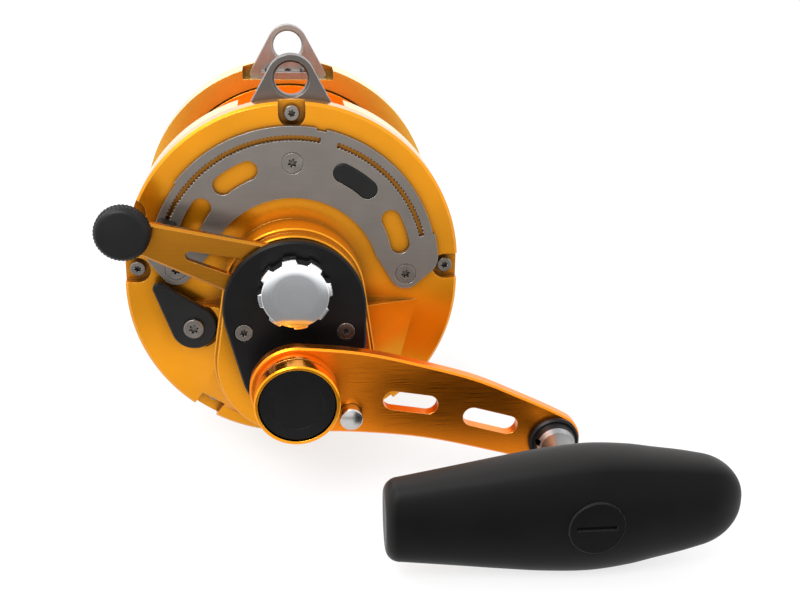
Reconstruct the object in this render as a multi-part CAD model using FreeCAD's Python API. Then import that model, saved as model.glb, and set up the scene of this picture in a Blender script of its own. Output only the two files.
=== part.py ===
import FreeCAD, Part
import math
import os

# Two-speed lever-drag trolling reel, in millimetres.
# Every piece is drawn about the spool's axis, which is the Y axis, with y = 0 on the front face of the
# handle-side plate, +Y towards the left side plate, +X towards the rod tip and +Z up.
# save() then moves it to the reel's own frame: origin at the centre of the foot's underside.

V = FreeCAD.Vector
ALONG = V(0, 1, 0)

# ---- stack of parts along the spool's axis ----
PLATE_T = 8.0                # handle-side plate
RING_T = 12.0                # each frame ring
BAY = 69.3                   # clear width between the two frame rings
LEFT_PLATE_T = 6.0
NEAR_RING_Y = PLATE_T
NEAR_RING_END = NEAR_RING_Y + RING_T
FAR_RING_Y = NEAR_RING_END + BAY
FAR_RING_END = FAR_RING_Y + RING_T
LEFT_PLATE_END = FAR_RING_END + LEFT_PLATE_T
MID_Y = (NEAR_RING_Y + FAR_RING_END) / 2

# ---- frame and side plates ----
PLATE_R = 66.0
PLATE_DROP = 8.0             # the plates' round outline is stretched downwards by this much
RIM_CHAMFER = 1.0
RING_BORE_R = 57.0
FOOT_DROP = 76.0             # spool axis to the underside of the foot
FOOT_HALF = (38.0, 15.0)
FOOT_T = 5.0
CLAMP_HOLE_R = 2.6
CLAMP_HOLE_AT = (28.0, 9.0)
NOTCH_HALF = 20.5            # flat seat for a harness lug on top of each ring
NOTCH_Z = 58.7
BAR_ANGLES = (205.0, 335.0)
RUNNING = 0.05               # radial clearance of a running fit
SCREW_GAP = 0.05

# ---- rim screws that hold the side plates ----
RIM_SCREWS = [(0.0, 61.2), (61.0, -0.5), (-61.0, -0.5), (32.6, -55.7), (-32.6, -55.7)]
RIM_POCKET_R = 5.2
RIM_POCKET_DEPTH = 4.5
KNOB_RELIEF_AT = (-61.5, 22.8)   # pocket of the same shape, without a screw, behind the lever's knob

# ---- gear case ----
HANDLE_DROP = 35.0           # crank axis below the spool axis
CASE = [(0.0, -7.7, 27.8), (0.0, -HANDLE_DROP, 32.0)]
CASE_STEP = [(0.0, -8.3, 26.7), (0.0, -HANDLE_DROP, 30.6)]
CASE_STEP_Y = -13.0
CASE_FRONT_Y = -17.3
CAVITY = [(0.0, 0.0, 18.5), (0.0, -HANDLE_DROP, 29.5)]
CAVITY_FRONT_Y = -12.0
BRIDGE = [(0.0, 0.0, 23.0), (0.0, -HANDLE_DROP, 33.0)]
BRIDGE_Y = 5.0
BRIDGE_SCREWS = [(0.0, 20.75), (0.0, -66.2), (31.2, -33.0), (-31.2, -33.0)]
BRIDGE_SCREW_R = 1.5

# ---- gears, module 1.25 on 35 mm centres ----
MODULE = 1.25
PRESSURE_ANGLE = math.radians(25)
FLANK_RELIEF = 0.22          # taken off each flank so that the teeth run free
HIGH_TEETH = (42, 14)
LOW_TEETH = (32, 24)
HIGH_GEAR_Y = (-10.2, -4.3)
LOW_GEAR_Y = (-3.7, 2.2)

# ---- crank ----
ARM_Y = (-41.5, -36.7)
CUP_FRONT_Y = -54.0
CUP_R = 15.85
BUTTON_R = 14.2
KEY_Y = (HIGH_GEAR_Y[0] + 1.0, HIGH_GEAR_Y[0] + 4.6)
SHIFT_TRAVEL = LOW_GEAR_Y[0] - KEY_Y[0]      # carries the key from the high gear into the low gear
SHIFT_BORE_END = -33.5       # floor of the counterbore that takes the shift spring
GRIP_AT = (100.0, -58.9)     # axis that the grip turns on
PIN_AT = (20.3, -44.9)       # shift release pin
PIN_R = 4.4

# ---- drag lever, quadrant and cover ----
LEVER_Y = (-20.7, -17.5)
LEVER_KNOB_AT = (-62.4, 22.6)
LEVER_KNOB_R = 10.4
COVER_Y = (-24.5, -21.1)
COVER = [(0.0, -9.0, 27.4), (0.0, -HANDLE_DROP + 1, 21.0), (0.0, -22.0, 27.4)]
COVER_SCREWS = [(-19.5, -18.0), (19.5, -18.0)]
QUADRANT_T = 2.0
QUADRANT_SCREWS = [(0.0, 42.7), (44.8, -3.0), (-45.9, 0.0)]
SLOT_R = 52.5
WINDOW_R = 43.3
WINDOW_HALF = 3.9
BUTTON_WINDOW = (47.8, 63.3)
PRESET_Y = (-33.4, -26.6)

# ---- clicker and anti-reverse ----
CLICK_AT = (-39.6, -22.6)
CLICK_TIP = (-52.6, -6.2)
CLICK_LEVER_Y = (-7.0, -4.3)
CLICK_SWING = 35.0           # degrees that the clicker lever turns
DOG_AT = (15.5, -25.0)
DOG_Y = (-20.4, -18.0)

# ---- spool ----
SPOOL_FLANGE_R = 56.4
SPOOL_NEAR_Y = 15.3
SPOOL_FAR_Y = 91.3
SPOOL_ARBOR_R = 25.0
SHAFT_R = 4.0
BEARING_R = 11.0


# ---------------------------------------------------------------- building blocks
def disc(r, y0, y1, x=0.0, z=0.0):
    return Part.makeCylinder(r, y1 - y0, V(x, y0, z), ALONG)


def cone(r0, r1, y0, y1, x=0.0, z=0.0):
    return Part.makeCone(r0, r1, y1 - y0, V(x, y0, z), ALONG)


def tube(r_out, r_in, y0, y1, x=0.0, z=0.0):
    return disc(r_out, y0, y1, x, z).cut(disc(r_in, y0 - 1, y1 + 1, x, z))


def block(x0, x1, y0, y1, z0, z1):
    return Part.makeBox(x1 - x0, y1 - y0, z1 - z0, V(x0, y0, z0))


def polar(r, degrees, y=0.0, x=0.0, z=0.0):
    a = math.radians(degrees)
    return V(x + r * math.cos(a), y, z + r * math.sin(a))


def prism(edges, y0, y1):
    """Solid from a closed outline drawn on the plane y = y0."""
    wire = Part.Wire(Part.__sortEdges__(edges))
    return Part.Face(wire).extrude(V(0, y1 - y0, 0))


def polygon(points, y0, y1):
    corners = [V(x, y0, z) for x, z in points]
    corners.append(corners[0])
    return Part.Face(Part.makePolygon(corners)).extrude(V(0, y1 - y0, 0))


def hull(circles, y0, y1):
    """Prism of the taut outline round circles (x, z, r), listed anticlockwise."""
    count = len(circles)
    normals = []
    for i in range(count):
        xa, za, ra = circles[i]
        xb, zb, rb = circles[(i + 1) % count]
        span = math.hypot(xb - xa, zb - za)
        dx, dz = (xb - xa) / span, (zb - za) / span
        along = (ra - rb) / span
        across = math.sqrt(1 - along * along)
        normals.append((dx * along + dz * across, dz * along - dx * across))
    edges = []
    for i in range(count):
        xa, za, ra = circles[i]
        xb, zb, rb = circles[(i + 1) % count]
        nx, nz = normals[i]
        edges.append(Part.makeLine(V(xa + ra * nx, y0, za + ra * nz), V(xb + rb * nx, y0, zb + rb * nz)))
        start = math.degrees(math.atan2(nz, nx))
        nx2, nz2 = normals[(i + 1) % count]
        sweep = (math.degrees(math.atan2(nz2, nx2)) - start) % 360
        ends = [polar(rb, start + sweep * part, y0, xb, zb) for part in (0, 0.5, 1)]
        edges.append(Part.Arc(*ends).toShape())
    return prism(edges, y0, y1)


def sector(r_in, r_out, a0, a1, y0, y1):
    mid = (a0 + a1) / 2
    outer = Part.Arc(polar(r_out, a0, y0), polar(r_out, mid, y0), polar(r_out, a1, y0)).toShape()
    inner = Part.Arc(polar(r_in, a1, y0), polar(r_in, mid, y0), polar(r_in, a0, y0)).toShape()
    sides = [
        Part.makeLine(polar(r_out, a1, y0), polar(r_in, a1, y0)),
        Part.makeLine(polar(r_in, a0, y0), polar(r_out, a0, y0)),
    ]
    return prism([outer, inner] + sides, y0, y1)


def bean(r_mid, half_width, a0, a1, y0, y1):
    """Curved slot with round ends, the ends' centres at angles a0 and a1."""
    shape = sector(r_mid - half_width, r_mid + half_width, a0, a1, y0, y1)
    for a in (a0, a1):
        end = polar(r_mid, a)
        shape = shape.fuse(disc(half_width, y0, y1, end.x, end.z))
    return shape.removeSplitter()


def cut_all(shape, tools):
    return shape.cut(Part.makeCompound(tools)) if tools else shape


def fuse_all(shapes):
    return shapes[0].multiFuse(shapes[1:]).removeSplitter()


def chamfer_at(shape, y, size):
    """Chamfers every edge that lies on the plane at y."""
    edges = [e for e in shape.Edges if abs(e.BoundBox.YMin - y) < 1e-6 and abs(e.BoundBox.YMax - y) < 1e-6]
    return shape.makeChamfer(size, edges)


def fillet_at(shape, y, size):
    edges = [e for e in shape.Edges if abs(e.BoundBox.YMin - y) < 1e-6 and abs(e.BoundBox.YMax - y) < 1e-6]
    return shape.makeFillet(size, edges)


def star_socket(r, y0, y1, x, z):
    """Six-lobed driver recess."""
    lobes = [disc(0.62 * r, y0, y1, x, z)]
    for i in range(6):
        p = polar(0.68 * r, 60 * i + 15, 0, x, z)
        lobes.append(disc(0.24 * r, y0, y1, p.x, p.z))
    return fuse_all(lobes)


def cap_screw(x, z, y, head_r, head_h, shank_r, length):
    """Cylinder-head screw. Its head starts at y and its shank points along +Y."""
    head = chamfer_at(disc(head_r, y, y + head_h, x, z), y, 0.3)
    screw = head.fuse(disc(shank_r, y + head_h, y + head_h + length, x, z))
    return screw.cut(star_socket(0.52 * head_r, y - 1, y + 0.6 * head_h, x, z))


def flat_screw(x, z, y, head_r, shank_r, length):
    """Countersunk screw whose head is flush with the surface at y."""
    depth = head_r - shank_r
    head = cone(head_r, shank_r, y, y + depth, x, z)
    screw = head.fuse(disc(shank_r, y + depth, y + length, x, z))
    return screw.cut(star_socket(0.5 * head_r, y - 1, y + 0.75 * depth, x, z))


def flat_screw_hole(x, z, y, head_r, shank_r, length):
    """Countersunk hole with a narrow relief groove round the head's rim."""
    r = shank_r + SCREW_GAP
    depth = head_r - shank_r
    sink = cone(head_r + SCREW_GAP, r, y, y + depth, x, z)
    relief = disc(head_r + 0.45, y - 0.5, y + 0.7, x, z)
    return fuse_all([sink, relief, disc(r, y + depth, y + length + 0.5, x, z)])


def gear(teeth, y0, y1, z, first_tooth, bore_r):
    """Involute spur gear about an axis at height z, with a tooth's middle at angle first_tooth."""
    pitch_r = MODULE * teeth / 2
    base_r = pitch_r * math.cos(PRESSURE_ANGLE)
    tip_r = pitch_r + 0.9 * MODULE
    root_r = pitch_r - 1.15 * MODULE
    inv_pitch = math.tan(PRESSURE_ANGLE) - PRESSURE_ANGLE
    half_at_pitch = math.pi / (2 * teeth) - FLANK_RELIEF / pitch_r

    def half_angle(r):
        a = math.acos(min(1.0, base_r / r))
        return math.degrees(half_at_pitch + inv_pitch - (math.tan(a) - a))

    flank = [max(root_r, base_r), pitch_r, tip_r]
    outline = []
    for i in range(teeth):
        middle = first_tooth + 360.0 * i / teeth
        rise = [(root_r, half_angle(flank[0]))] + [(r, half_angle(r)) for r in flank]
        outline += [polar(r, middle - h, y0, 0, z) for r, h in rise]
        outline += [polar(r, middle + h, y0, 0, z) for r, h in reversed(rise)]
    corners = [outline[0]]
    for p in outline[1:]:
        if p.distanceToPoint(corners[-1]) > 1e-4:
            corners.append(p)
    corners.append(corners[0])
    blank = Part.Face(Part.makePolygon(corners)).extrude(V(0, y1 - y0, 0))
    return blank.cut(disc(bore_r, y0 - 1, y1 + 1, 0, z))


def save(name, shape):
    placed = shape.copy()
    placed.translate(V(0, -MID_Y, FOOT_DROP))
    solids = placed.Solids
    assert solids and all(s.isValid() for s in solids), name
    placed = solids[0] if len(solids) == 1 else Part.makeCompound(solids)
    placed.exportStep(os.path.join("parts", name + ".step"))


# ---------------------------------------------------------------- side plates and frame
def plate_outline(y0, y1, inset=0.0):
    r = PLATE_R - inset
    return hull([(0.0, 0.0, r), (0.0, -PLATE_DROP, r)], y0, y1)


def rim_pocket(x, z, y0, y1):
    """Round-bottomed pocket for a rim screw's head, open towards the rim."""
    away = math.degrees(math.atan2(z + (PLATE_DROP if z < -20 else 0), x))
    box = block(0, 20, y0, y1, -RIM_POCKET_R, RIM_POCKET_R)
    box.rotate(V(0, 0, 0), V(0, 1, 0), -away)
    box.translate(V(x, 0, z))
    return disc(RIM_POCKET_R, y0, y1, x, z).fuse(box)


def case_wing(side):
    """Sloping web that runs from the gear case's wall down to the plate's face."""
    low = [(24, -14.6), (51.5, -14.6), (40.5, -57.0), (20, -66.5)]
    high = [(24, -14.6), (29.5, -14.6), (31.6, -40.0), (20, -60.5)]
    wires = []
    for points, y in ((low, 0.5), (high, -6.5)):
        corners = [V(side * x, y, z) for x, z in points]
        wires.append(Part.makePolygon(corners + [corners[0]]))
    return Part.makeLoft(wires, True, True)


def make_handle_side_plate():
    plate = chamfer_at(plate_outline(0, PLATE_T), 0, RIM_CHAMFER)
    case = chamfer_at(hull(CASE, CASE_STEP_Y, 1), CASE_STEP_Y, 0.5)
    step = chamfer_at(hull(CASE_STEP, CASE_FRONT_Y, CASE_STEP_Y + 1), CASE_FRONT_Y, 0.5)
    click_boss = disc(8.6, CLICK_LEVER_Y[1] + 0.3, 1, *CLICK_AT)
    wings = [case_wing(side) for side in (-1, 1)]
    wings = [w.common(plate_outline(-10, PLATE_T, RIM_CHAMFER)) for w in wings]
    wings[0] = wings[0].cut(disc(10.2, -20, CLICK_LEVER_Y[1] + 0.3, *CLICK_AT))
    shape = fuse_all([plate, case, step, click_boss] + wings)
    holes = [
        hull(CAVITY, CAVITY_FRONT_Y, BRIDGE_Y + 1),
        hull(BRIDGE, BRIDGE_Y, PLATE_T + 1),
        disc(9.5, -15.0, CAVITY_FRONT_Y + 1),
        disc(4.6, CASE_FRONT_Y - 1, -14),
        disc(12.0, CASE_FRONT_Y - 1, -16.0),
        disc(12.0, -15.5, CAVITY_FRONT_Y + 1, 0, -HANDLE_DROP),
        disc(7.4, CASE_FRONT_Y - 1, -15, 0, -HANDLE_DROP),
        disc(3.0 + RUNNING, -6, PLATE_T + 1, *CLICK_AT),
        bean(WINDOW_R, WINDOW_HALF + 0.1, *BUTTON_WINDOW, -1, 6.5),
    ]
    for x, z in RIM_SCREWS:
        holes.append(rim_pocket(x, z, -1, RIM_POCKET_DEPTH))
        holes.append(disc(1.5 + SCREW_GAP, 0, PLATE_T + 1, x, z))
    holes.append(rim_pocket(*KNOB_RELIEF_AT, -1, RIM_POCKET_DEPTH))
    holes += [disc(1.9 + SCREW_GAP, -1, 6, x, z) for x, z in QUADRANT_SCREWS]
    holes += [disc(1.6 + SCREW_GAP, CASE_FRONT_Y - 1, -12.5, x, z) for x, z in COVER_SCREWS]
    holes += [disc(1.5 + SCREW_GAP, CASE_FRONT_Y - 1, -13, s * DOG_AT[0], DOG_AT[1]) for s in (-1, 1)]
    holes += [disc(1.0 + SCREW_GAP, 0.4, PLATE_T, x, z) for x, z in BRIDGE_SCREWS]
    return cut_all(shape, holes)


def make_left_side_plate():
    plate = chamfer_at(plate_outline(FAR_RING_END, LEFT_PLATE_END), LEFT_PLATE_END, RIM_CHAMFER)
    dish = tube(50, 24, LEFT_PLATE_END - 1.2, LEFT_PLATE_END + 1)
    holes = [dish, disc(SHAFT_R + RUNNING, FAR_RING_END - 1, LEFT_PLATE_END + 1)]
    for x, z in RIM_SCREWS:
        holes.append(rim_pocket(x, z, LEFT_PLATE_END - 3.6, LEFT_PLATE_END + 1))
        holes.append(disc(1.5 + SCREW_GAP, FAR_RING_END - 1, LEFT_PLATE_END, x, z))
    for a in (90, 210, 330):
        p = polar(12.5, a)
        holes.append(disc(1.5 + SCREW_GAP, FAR_RING_END + 2, LEFT_PLATE_END + 1, p.x, p.z))
    return cut_all(plate, holes)


def make_left_plate_cap():
    cap = chamfer_at(disc(17.5, LEFT_PLATE_END, LEFT_PLATE_END + 3.0), LEFT_PLATE_END + 3.0, 0.8)
    for a in (90, 210, 330):
        p = polar(12.5, a)
        cap = cap.cut(disc(1.5 + SCREW_GAP, LEFT_PLATE_END - 1, LEFT_PLATE_END + 4, p.x, p.z))
    return cap


def make_cap_screws():
    screws = []
    for a in (90, 210, 330):
        p = polar(12.5, a)
        screw = cap_screw(p.x, p.z, 0, 2.8, 1.8, 1.5, 7.0)
        screw.rotate(V(p.x, 0, p.z), V(0, 0, 1), 180)
        screw.translate(V(0, LEFT_PLATE_END + 4.8, 0))
        screws.append(screw)
    return Part.makeCompound(screws)


def make_frame():
    rings = []
    for y0, y1 in ((NEAR_RING_Y, NEAR_RING_END), (FAR_RING_Y, FAR_RING_END)):
        ring = plate_outline(y0, y1).cut(disc(RING_BORE_R, y0 - 1, y1 + 1))
        rings.append(ring.cut(block(-NOTCH_HALF, NOTCH_HALF, y0 - 1, y1 + 1, NOTCH_Z, 80)))
    bars = [sector(58.5, 65.5, a - 8, a + 8, NEAR_RING_END - 1, FAR_RING_Y + 1) for a in BAR_ANGLES]
    base = sector(58.5, 65.8, 249, 291, NEAR_RING_END - 1, FAR_RING_Y + 1)
    half_x, half_y = FOOT_HALF
    foot = block(-half_x, half_x, MID_Y - half_y, MID_Y + half_y, -FOOT_DROP, -FOOT_DROP + FOOT_T)
    corner = [e for e in foot.Edges if e.BoundBox.ZLength > FOOT_T - 1 and e.BoundBox.XLength < 0.1]
    foot = foot.makeFillet(8, corner)
    pedestal = block(-20, 20, MID_Y - 12, MID_Y + 12, -FOOT_DROP + 1, -60.5)
    shape = fuse_all(rings + bars + [base, foot, pedestal])
    holes = []
    for x in (-CLAMP_HOLE_AT[0], CLAMP_HOLE_AT[0]):
        for dy in (-CLAMP_HOLE_AT[1], CLAMP_HOLE_AT[1]):
            holes.append(Part.makeCylinder(CLAMP_HOLE_R, FOOT_T + 2, V(x, MID_Y + dy, -FOOT_DROP - 1)))
    for x, z in RIM_SCREWS[1:]:
        holes.append(disc(1.5 + SCREW_GAP, NEAR_RING_Y - 1, NEAR_RING_Y + 8, x, z))
        holes.append(disc(1.5 + SCREW_GAP, FAR_RING_END - 8, FAR_RING_END + 1, x, z))
    for y in LUG_SCREW_Y:
        for x in (-LUG_SCREW_X, LUG_SCREW_X):
            holes.append(Part.makeCylinder(1.25 + SCREW_GAP, 8, V(x, y, NOTCH_Z - 5)))
    return cut_all(shape, holes)


def make_rim_screws():
    """Five screws through the handle-side plate. The top one threads into the lug."""
    return Part.makeCompound([cap_screw(x, z, 1.2, 3.0, 3.3, 1.5, 8.5) for x, z in RIM_SCREWS])


def make_left_rim_screws():
    screws = []
    for x, z in RIM_SCREWS:
        screw = cap_screw(x, z, 0, 3.0, 3.0, 1.5, 7.5)
        screw.rotate(V(x, 0, z), V(0, 0, 1), 180)
        screw.translate(V(0, LEFT_PLATE_END - 0.6, 0))
        screws.append(screw)
    return Part.makeCompound(screws)


# ---------------------------------------------------------------- harness lugs
LUG_T = 5.5
LUG_HOLE_Z = 73.0
LUG_HOLE_R = 6.4
LUG_TOP_R = 9.2
LUG_FOOT_HALF = 12.0
LUG_FOOT_T = 3.2
LUG_SCREW_X = 8.0
LUG_SCREW_Y = (NEAR_RING_END - 3.4, FAR_RING_Y + 3.4)


def make_lug(far):
    """Triangular ear with a round eye, on a flange that is screwed down to its frame ring."""
    y0 = FAR_RING_END - LUG_T if far else NEAR_RING_Y
    y1 = y0 + LUG_T
    ear = hull([(-16.3, NOTCH_Z + 1.2, 1.2), (16.3, NOTCH_Z + 1.2, 1.2), (0, LUG_HOLE_Z, LUG_TOP_R)], y0, y1)
    foot_y = (FAR_RING_Y + 0.2, y0 + 1) if far else (y1 - 1, NEAR_RING_END - 0.2)
    foot = block(-LUG_FOOT_HALF, LUG_FOOT_HALF, *foot_y, NOTCH_Z, NOTCH_Z + LUG_FOOT_T)
    eye = fuse_all([
        disc(LUG_HOLE_R, y0 - 1, y1 + 1, 0, LUG_HOLE_Z),
        cone(LUG_HOLE_R + 0.9, LUG_HOLE_R - 0.1, y0 - 0.1, y0 + 0.9, 0, LUG_HOLE_Z),
        cone(LUG_HOLE_R - 0.1, LUG_HOLE_R + 0.9, y1 - 0.9, y1 + 0.1, 0, LUG_HOLE_Z),
    ])
    rim_screw_hole = disc(1.5 + SCREW_GAP, y0 - 1, y1 + 1, *RIM_SCREWS[0])
    lug = fuse_all([ear, foot]).cut(eye).cut(rim_screw_hole)
    for sx in (-LUG_SCREW_X, LUG_SCREW_X):
        y = LUG_SCREW_Y[1 if far else 0]
        lug = lug.cut(Part.makeCylinder(1.25 + SCREW_GAP, 10, V(sx, y, NOTCH_Z - 1)))
    return lug


def make_lug_screws():
    screws = []
    for y in LUG_SCREW_Y:
        for x in (-LUG_SCREW_X, LUG_SCREW_X):
            top = NOTCH_Z + LUG_FOOT_T
            head = Part.makeCylinder(2.5, 1.8, V(x, y, top))
            shank = Part.makeCylinder(1.25, LUG_FOOT_T + 1.6, V(x, y, NOTCH_Z - 1.6))
            socket = Part.makeCylinder(1.2, 1.2, V(x, y, top + 0.8))
            screws.append(head.fuse(shank).cut(socket))
    return Part.makeCompound(screws)


# ---------------------------------------------------------------- quadrant, cover, drag lever
def toothed_slot(a0, a1):
    """Arc slot in the quadrant with a row of detent scallops along both its edges."""
    half_width = 0.6
    scallop = 0.6
    count = round(math.radians(a1 - a0) * SLOT_R / 1.5)
    step = (a1 - a0) / count
    y = -QUADRANT_T - 1
    edges = []
    for r, way in ((SLOT_R + half_width, 1), (SLOT_R - half_width, -1)):
        for i in range(count):
            a = a0 + i * step
            dip = polar(r + way * scallop, a + step / 2, y)
            edges.append(Part.Arc(polar(r, a, y), dip, polar(r, a + step, y)).toShape())
    for a in (a0, a1):
        edges.append(Part.makeLine(polar(SLOT_R + half_width, a, y), polar(SLOT_R - half_width, a, y)))
    return prism(edges, y, 1)


def make_quadrant():
    """Curved plate that the drag lever sweeps, with detent slots and four curved windows."""
    y0 = -QUADRANT_T
    outer_r = 57.0
    band = sector(25.0, outer_r, 9.3, 165.9, y0, 0)
    band = band.cut(disc(34.4, y0 - 1, 1, 0, -5.5))
    # each end narrows to a small round lobe about its screw; the right one stands proud of the outer edge
    right_end = hull([(44.8, -3.0, 6.2), (49.4, 4.0, 8.4), (37.4, 6.9, 5.0)], y0, 0)
    left_end = hull([(-45.9, 0.0, 6.2), (-50.2, 7.0, 7.0), (-36.3, 9.9, 5.0)][::-1], y0, 0)
    right_edge = sector(outer_r - 6, outer_r + 0.8, 5.0, 13.5, y0, 0)
    left_edge = sector(outer_r - 6, outer_r, 165.0, 174.0, y0, 0)
    plate = fuse_all([band, right_end, left_end, right_edge, left_edge])
    # the outer edge steps in by 0.8 mm over the first stretch of the left side
    plate = plate.cut(sector(outer_r - 0.8, outer_r + 2, 142, 172, y0 - 1, 1))
    plate = plate.cut(sector(outer_r - 0.9, outer_r + 2, 76.5, 80.5, y0 - 1, 1))
    cuts = [toothed_slot(78, 165), toothed_slot(14, 71)]
    for a0, a1 in ((12.6, 27.4), BUTTON_WINDOW, (113.2, 128.2), (144.4, 158.0)):
        cuts.append(bean(WINDOW_R, WINDOW_HALF, a0, a1, y0 - 1, 1))
    cuts += [flat_screw_hole(x, z, y0, 3.9, 1.9, 9) for x, z in QUADRANT_SCREWS]
    return cut_all(plate, cuts)


def make_quadrant_screws():
    return Part.makeCompound([flat_screw(x, z, -QUADRANT_T, 3.9, 1.9, 7.5) for x, z in QUADRANT_SCREWS])


def make_strike_button():
    button = bean(WINDOW_R, WINDOW_HALF - 0.15, *BUTTON_WINDOW, -QUADRANT_T - 0.25, 4.2)
    return chamfer_at(button, -QUADRANT_T - 0.25, 0.35)


def make_gear_cover():
    """Black cover over the lever's hub and the ratchet. Its skirt closes the lower half only."""
    y0, y1 = COVER_Y
    face = chamfer_at(hull(COVER, y0, y1), y0, 0.7)
    inner = [(x, z, r - 2.3) for x, z, r in COVER]
    skirt = hull(COVER, y1 - 0.1, CASE_FRONT_Y).cut(hull(inner, y1 - 1, CASE_FRONT_Y + 1))
    skirt = skirt.common(block(-40, 40, y1 - 1, CASE_FRONT_Y + 1, -70, -10.0))
    posts = [disc(4.0, y1 - 0.1, CASE_FRONT_Y, x, z) for x, z in COVER_SCREWS]
    shape = fuse_all([face, skirt] + posts)
    cuts = [disc(11.6, y0 - 1, y1 + 1), disc(10.6, y0 - 1, y1 + 1, 0, -HANDLE_DROP)]
    cuts += [flat_screw_hole(x, z, y0, 3.3, 1.6, 9) for x, z in COVER_SCREWS]
    return cut_all(shape, cuts)


def make_cover_screws():
    return Part.makeCompound([flat_screw(x, z, COVER_Y[0], 3.3, 1.6, 11.5) for x, z in COVER_SCREWS])


def make_drag_lever():
    y0, y1 = LEVER_Y
    blade = hull([(-62.4, 21.0, 5.6), (0, 0, 13.6)], y0, y1)
    window = hull([(-38.6, 12.0, 1.9), (-20.5, 3.9, 1.0), (-16.5, 9.3, 1.0)], y0 - 1, y1 + 1)
    lever = chamfer_at(blade, y0, 0.9).cut(window)
    hub = disc(11.2, COVER_Y[0] + 0.3, y0 + 0.1)
    lever = fuse_all([lever, hub])
    cam_bore = disc(8.0, COVER_Y[0] - 1, y1 + 1)
    knob_hole = disc(2.0 + SCREW_GAP, y0 - 1, y1 + 1, *LEVER_KNOB_AT)
    return cut_all(lever, [cam_bore, knob_hole])


def make_drag_cam():
    """Cam pressed into the lever's hub, with three raised pads that push the follower."""
    cam = tube(8.0, SHAFT_R + 0.4, COVER_Y[0] + 0.3, LEVER_Y[1])
    rim = tube(10.5, SHAFT_R + 0.4, LEVER_Y[1], LEVER_Y[1] + 0.8)
    return fuse_all([cam, rim])


def make_fixed_cam():
    """Cam ring pressed into the gear case, behind the moving cam."""
    ring = tube(12.0, SHAFT_R + 0.4, -16.5, -16.0)
    for a in (90, 210, 330):
        p = polar(10.0, a)
        ring = ring.fuse(disc(1.2, -16.6, -16.0, p.x, p.z))
    return ring.removeSplitter()


def make_detent_shoe():
    """Black shoe under the lever that clicks along the quadrant's scallops."""
    a = 160.0
    shoe = block(48.6, 55.4, LEVER_Y[1], -QUADRANT_T - 0.35, -3.2, 3.2)
    edges = [e for e in shoe.Edges if e.BoundBox.YLength > 5]
    shoe = shoe.makeFillet(1.5, edges)
    shoe.rotate(V(0, 0, 0), V(0, 1, 0), -a)
    return shoe


def knurled(r, depth, count, y0, y1, x, z):
    """Round bar with straight grooves all round."""
    bar = disc(r, y0, y1, x, z)
    grooves = []
    for i in range(count):
        p = polar(r + 0.1, 360.0 * i / count, 0, x, z)
        grooves.append(disc(depth, y0 - 1, y1 + 1, p.x, p.z))
    return cut_all(bar, grooves)


def make_lever_knob():
    x, z = LEVER_KNOB_AT
    y0, y1 = -28.5, -21.9
    knob = knurled(LEVER_KNOB_R, 0.45, 40, y0 + 1.0, y1 - 0.6, x, z)
    face = cone(LEVER_KNOB_R - 1.4, LEVER_KNOB_R - 0.4, y0, y0 + 1.0, x, z)
    back = cone(LEVER_KNOB_R - 0.4, LEVER_KNOB_R - 1.0, y1 - 0.6, y1, x, z)
    return fuse_all([face, knob, back]).cut(disc(2.0 + SCREW_GAP, y1 - 5, y1 + 1, x, z))


def make_knob_collar():
    x, z = LEVER_KNOB_AT
    return tube(8.6, 2.0 + SCREW_GAP, -21.9, LEVER_Y[0], x, z)


def make_knob_screw():
    """Screw that comes up through the lever from behind into its knob."""
    x, z = LEVER_KNOB_AT
    head = disc(3.6, LEVER_Y[1], LEVER_Y[1] + 1.6, x, z)
    screw = head.fuse(disc(2.0, LEVER_Y[1] - 9.0, LEVER_Y[1], x, z))
    return screw.cut(star_socket(1.8, LEVER_Y[1] + 0.6, LEVER_Y[1] + 3, x, z))


# ---------------------------------------------------------------- preset knob, shaft, drag
def make_preset_knob():
    y0, y1 = PRESET_Y
    face_r = 12.6
    lobes = [disc(face_r, y0, y1)]
    for i in range(8):
        a = 9 + 45 * i
        lobes.append(sector(6.0, face_r + 1.3, a - 13.5, a + 13.5, y0 + 1.0, y1))
    knob = fuse_all(lobes)
    ridges = []
    for i in range(8):
        for k in range(-4, 5):
            p = polar(face_r + 1.45, 9 + 45 * i + 3.0 * k)
            ridges.append(disc(0.27, y0 - 1, y1 + 1, p.x, p.z))
    knob = cut_all(knob, ridges)
    neck = disc(9.2, y1 - 0.5, COVER_Y[0] - 0.5)
    knob = knob.fuse(neck).removeSplitter()
    return knob.cut(disc(SHAFT_R + RUNNING, y0 + 2.5, 0))


def make_spool_shaft():
    shaft = disc(SHAFT_R, PRESET_Y[0] + 3.4, LEFT_PLATE_END - 1.5)
    return shaft.fuse(disc(7.0, 96.4, 98.6)).removeSplitter()


def make_drag_springs():
    """Four cupped spring washers between the spool's far bearing and the shaft's collar."""
    height = 1.25
    washers = []
    for i in range(4):
        y0 = 91.2 + i * (height + 0.05)
        y1 = y0 + height
        rim_r, crown_r = (9.0, 5.6) if i % 2 else (5.6, 9.0)
        outside = cone(rim_r + 0.5, crown_r + 0.5, y0, y1)
        inside = cone(rim_r - 0.3, crown_r - 0.3, y0, y1)
        washers.append(cut_all(outside, [inside, disc(SHAFT_R, y0 - 1, y1 + 1)]))
    return Part.makeCompound(washers)


def bearing(r_out, r_in, y0, y1, x=0.0, z=0.0):
    """Ball bearing as one closed ring with the shield grooves on both faces."""
    ring = tube(r_out, r_in, y0, y1, x, z)
    mid = (r_out + r_in) / 2
    half = 0.28 * (r_out - r_in)
    for a, b in ((y0 - 1, y0 + 0.4), (y1 - 0.4, y1 + 1)):
        ring = ring.cut(tube(mid + half, mid - half, a, b, x, z))
    return ring


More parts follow.
